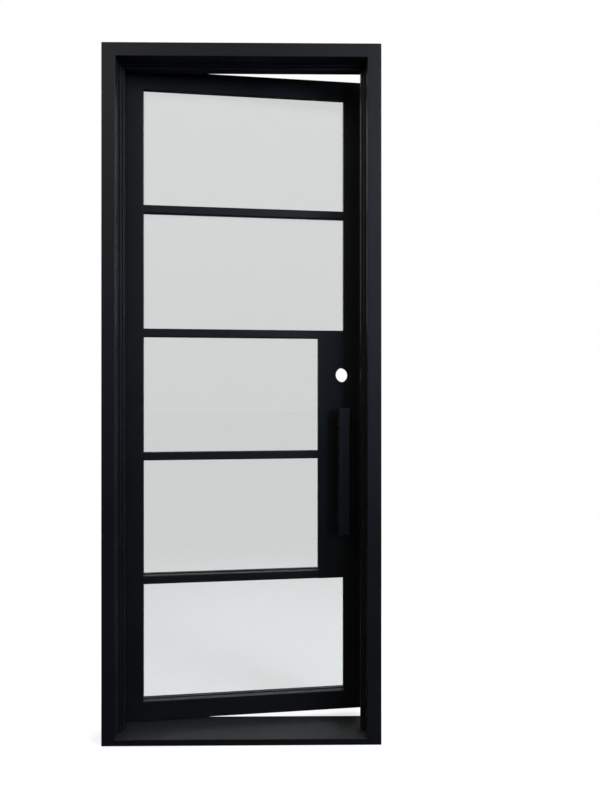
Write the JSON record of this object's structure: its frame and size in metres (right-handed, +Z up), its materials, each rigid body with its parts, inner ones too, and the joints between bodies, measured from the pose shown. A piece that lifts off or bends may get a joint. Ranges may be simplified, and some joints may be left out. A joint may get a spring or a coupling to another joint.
{
  "type": "glazed steel entry door in its frame",
  "caption": "Black steel entry door hung in its own frame, with stacked clear glass lites, a wide lock box with an empty round bore, a square bar pull and barrel hinges.",
  "frame": {"origin": "middle of the threshold's underside, at half the frame's depth", "axes": "+Z up, +X to the lock side and -Y towards the outside of the house, with the hinges at -X and the leaf opening to +Y"},
  "size_m": [0.972, 0.3052, 2.438],
  "materials": {
    "frame_paint": "satin black powder coat",
    "leaf_paint": "satin black powder coat",
    "bead_paint": "satin black powder coat",
    "pull_paint": "satin black powder coat",
    "hinge_paint": "satin black powder coat",
    "threshold_paint": "satin black powder coat, lightly scuffed",
    "pin_steel": "ground steel",
    "spacer_metal": "dark coated",
    "clear_glass": "clear, faint cool tint",
    "seal_rubber": "matt black",
    "gasket_rubber": "matt black"
  },
  "bodies": {
    "frame": {"hinge_jamb": "frame_paint", "strike_jamb": "frame_paint", "head_jamb": "frame_paint", "threshold": "threshold_paint", "hinge_side_seal": "seal_rubber", "strike_side_seal": "seal_rubber", "head_seal": "seal_rubber", "jamb_knuckle_1": "hinge_paint", "hinge_pin_1": "pin_steel", "hinge_bearing_1": "pin_steel", "jamb_knuckle_2": "hinge_paint", "hinge_pin_2": "pin_steel", "hinge_bearing_2": "pin_steel", "jamb_knuckle_3": "hinge_paint", "hinge_pin_3": "pin_steel", "hinge_bearing_3": "pin_steel", "jamb_knuckle_4": "hinge_paint", "hinge_pin_4": "pin_steel", "hinge_bearing_4": "pin_steel"},
    "leaf": {"hinge_stile": "leaf_paint", "upper_lock_stile": "leaf_paint", "lock_box": "leaf_paint", "lower_lock_stile": "leaf_paint", "top_rail": "leaf_paint", "bottom_rail": "leaf_paint", "bar_1": "leaf_paint", "bar_2": "leaf_paint", "bar_3": "leaf_paint", "bar_4": "leaf_paint", "outer_pane_1": "clear_glass", "inner_pane_1": "clear_glass", "glazing_beads_1": "bead_paint", "outer_pane_2": "clear_glass", "inner_pane_2": "clear_glass", "glazing_beads_2": "bead_paint", "outer_pane_3": "clear_glass", "inner_pane_3": "clear_glass", "glazing_beads_3": "bead_paint", "outer_gaskets": "gasket_rubber", "inner_gaskets": "gasket_rubber", "setting_blocks": "gasket_rubber", "pane_spacers": "spacer_metal", "leaf_knuckle_1": "hinge_paint", "leaf_knuckle_2": "hinge_paint", "leaf_knuckle_3": "hinge_paint", "leaf_knuckle_4": "hinge_paint", "outside_pull_bar": "pull_paint", "outside_pull_posts": "pull_paint", "inside_pull_bar": "pull_paint", "inside_pull_posts": "pull_paint", "pull_bolts": "pin_steel"}
  },
  "joints": [
    {"name": "leaf_swing", "type": "hinge", "parent": "frame", "child": "leaf", "pos_m": [-0.4525, 0.0815, 1.219], "axis": [0, 0, 1], "range_deg": [-5.6, 104.4]}
  ]
}
